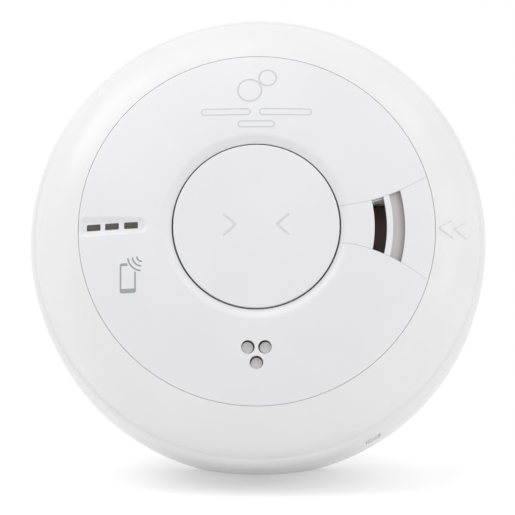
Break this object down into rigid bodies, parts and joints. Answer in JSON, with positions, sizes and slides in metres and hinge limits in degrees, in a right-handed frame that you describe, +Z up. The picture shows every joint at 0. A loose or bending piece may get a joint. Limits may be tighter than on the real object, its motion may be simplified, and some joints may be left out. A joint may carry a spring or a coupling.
{
  "type": "carbon monoxide detector",
  "caption": "Round white wall-mounted carbon monoxide alarm with a large central test button, indicator windows, a sounder grille and a slide-off mounting plate.",
  "frame": {"origin": "centre of the mounting plate's back face, on the wall", "axes": "+Z up the wall, +X to the right as seen from the room, +Y into the wall, so the face looks along -Y"},
  "size_m": [0.141, 0.047, 0.141],
  "materials": {
    "housing_white": "satin moulded ABS",
    "face_white": "satin moulded ABS, slightly cool",
    "plate_white": "fine textured moulding",
    "window_smoke": "smoked clear plastic",
    "clear_guide": "clear moulded light guide",
    "terminal_grey": "moulded",
    "brass": "bright",
    "steel": "zinc plated",
    "board_green": "solder mask",
    "black_plastic": "moulded",
    "cap_yellow": "moulded",
    "varistor_blue": "dipped epoxy",
    "horn_grey": "moulded",
    "filter_grey": "fine filter cloth",
    "rubber_black": "soft",
    "ceramic_white": "fired",
    "piezo_brown": "fired, dark electrode",
    "led_lens": "clear resin"
  },
  "bodies": {
    "base": {"mounting_plate": "plate_white", "terminal_block": "terminal_grey", "cable_clamp": "terminal_grey", "cable_clamp_screw_1": "steel", "cable_clamp_screw_2": "steel", "terminal_clamp_1": "brass", "terminal_clamp_2": "brass", "terminal_clamp_3": "brass", "terminal_clamp_4": "brass", "terminal_screw_1": "steel", "terminal_screw_2": "steel", "terminal_screw_3": "steel", "terminal_screw_4": "steel"},
    "head": {"contact_pin_1": "brass", "housing_screw_1": "steel", "contact_pin_2": "brass", "housing_screw_2": "steel", "contact_pin_3": "brass", "housing_screw_3": "steel", "contact_pin_4": "brass", "housing_screw_4": "steel", "button_spring": "steel", "backup_cell_1": "steel", "backup_cell_2": "steel", "co_sensor_cell": "steel", "can_capacitor": "steel", "front_housing": "housing_white", "rear_housing": "housing_white", "face_plate": "face_white", "sounder_grille": "face_white", "led_window_1": "window_smoke", "led_window_2": "window_smoke", "led_window_3": "window_smoke", "led_1": "led_lens", "led_2": "led_lens", "led_3": "led_lens", "light_guide": "clear_guide", "circuit_board": "board_green", "microcontroller": "black_plastic", "rectifier": "black_plastic", "test_switch": "black_plastic", "choke": "black_plastic", "contact_carrier": "black_plastic", "film_capacitor": "cap_yellow", "varistor": "varistor_blue", "fuse": "ceramic_white", "piezo_ceramic": "piezo_brown", "sensor_gasket": "rubber_black", "sensor_screen": "filter_grey", "sounder_horn": "horn_grey", "piezo_plate": "brass"},
    "button": {"test_button": "face_white"},
    "catch": {"release_catch": "housing_white"}
  },
  "joints": [
    {"name": "head_slide", "type": "slide", "parent": "base", "child": "head", "axis": [-1, 0, 0], "range_m": [0, 0.018]},
    {"name": "button_press", "type": "slide", "parent": "head", "child": "button", "axis": [0, 1, 0], "range_m": [0, 0.0015], "stiffness_N_per_m": 2500, "springref_m": -0.0008, "deforming": ["button_spring"]},
    {"name": "catch_lift", "type": "hinge", "parent": "head", "child": "catch", "pos_m": [0.02414, -0.0148, -0.04149], "axis": [-0.8643, 0, -0.503], "range_deg": [0, 3], "stiffness_Nm_per_rad": 0.6, "springref_deg": -1.72}
  ]
}
